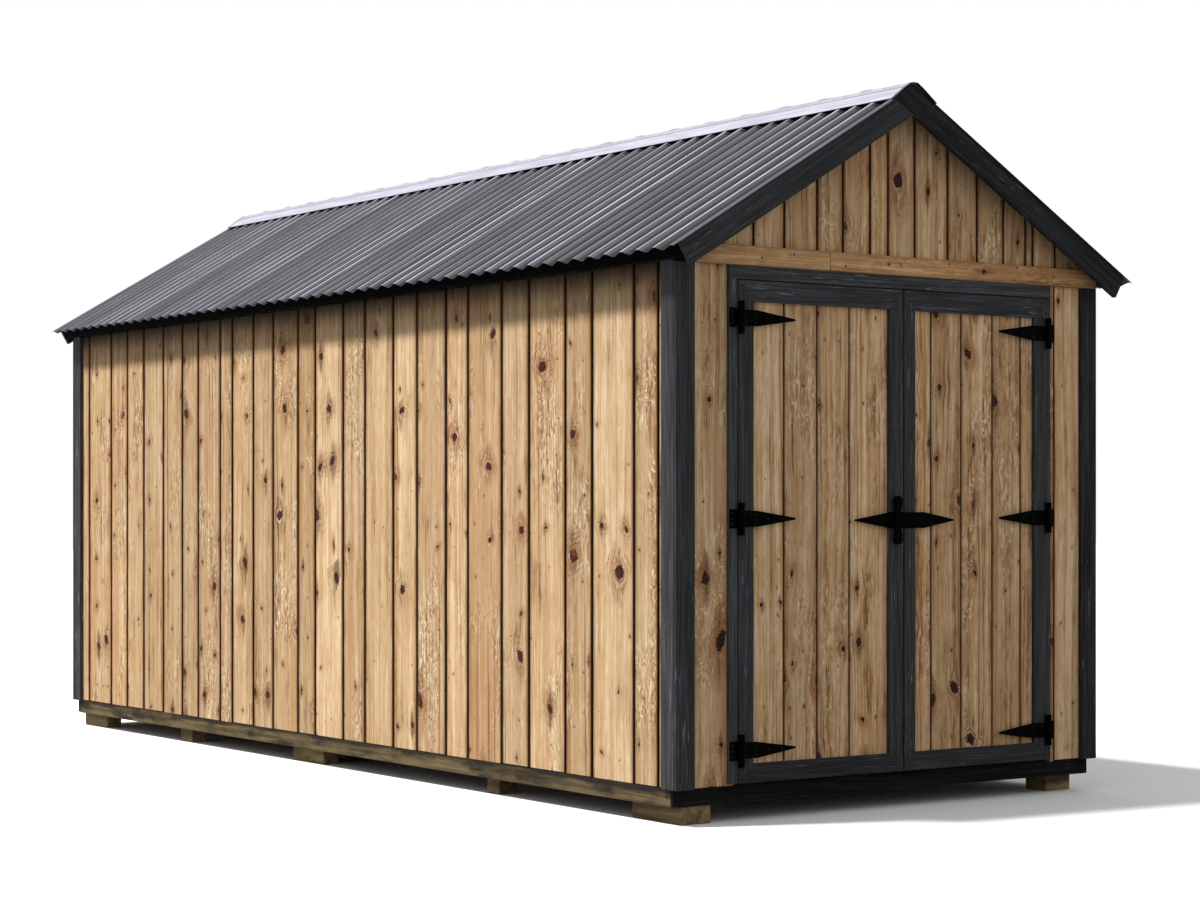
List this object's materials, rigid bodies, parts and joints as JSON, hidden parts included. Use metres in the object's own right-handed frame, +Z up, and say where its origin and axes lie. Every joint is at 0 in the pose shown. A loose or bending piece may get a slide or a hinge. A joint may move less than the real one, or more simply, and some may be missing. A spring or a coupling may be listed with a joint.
{
  "type": "wooden garden shed",
  "caption": "Long timber shed with vertical boards, charcoal trim, a corrugated gable roof and a pair of hinged doors in one gable end, standing on timber feet.",
  "frame": {"origin": "on the ground under the middle of the shed", "axes": "+Z up, +Y along the length from the doors to the back wall, +X to the right as seen from in front of the doors"},
  "size_m": [2.665, 6.338, 3.1794],
  "materials": {
    "board_timber": "rough",
    "charcoal_timber": "painted",
    "treated_timber": "rough",
    "framing_timber": "planed",
    "black_iron": "satin",
    "grey_sheet": "satin",
    "silver_sheet": "satin"
  },
  "bodies": {
    "shed": {"feet": "treated_timber", "bearers": "treated_timber", "joists": "treated_timber", "floor": "framing_timber", "skirt_front": "charcoal_timber", "skirt_back": "charcoal_timber", "wall_left": "board_timber", "wall_right": "board_timber", "wall_back": "board_timber", "wall_front_left": "board_timber", "wall_front_right": "board_timber", "gable_front": "board_timber", "gable_back": "board_timber", "frame_left": "framing_timber", "frame_right": "framing_timber", "frame_front": "framing_timber", "frame_back": "framing_timber", "corner_front_left": "charcoal_timber", "corner_front_right": "charcoal_timber", "corner_back_left": "charcoal_timber", "corner_back_right": "charcoal_timber", "beam_front": "board_timber", "beam_back": "board_timber", "door_header": "charcoal_timber", "jamb_left": "charcoal_timber", "jamb_right": "board_timber", "hinge_plates_left": "black_iron", "hinge_plates_right": "black_iron", "roof_frame": "framing_timber", "purlins": "framing_timber", "fascias": "charcoal_timber", "barge_front_left": "charcoal_timber", "barge_front_right": "charcoal_timber", "barges_back": "charcoal_timber", "roof_sheet_left": "grey_sheet", "roof_sheet_right": "grey_sheet", "ridge_cap": "silver_sheet"},
    "door_left": {"door_left_boards": "board_timber", "door_left_frame": "charcoal_timber", "hinge_straps_left": "black_iron", "latch_left": "black_iron"},
    "door_right": {"door_right_boards": "board_timber", "door_right_frame": "charcoal_timber", "hinge_straps_right": "black_iron", "latch_right": "black_iron"}
  },
  "joints": [
    {"name": "door_left_hinge", "type": "hinge", "parent": "shed", "child": "door_left", "pos_m": [-0.889, -3.079, 1.2], "axis": [0, 0, -1], "range_deg": [0, 170]},
    {"name": "door_right_hinge", "type": "hinge", "parent": "shed", "child": "door_right", "pos_m": [0.897, -3.079, 1.2], "axis": [0, 0, 1], "range_deg": [0, 170]}
  ]
}
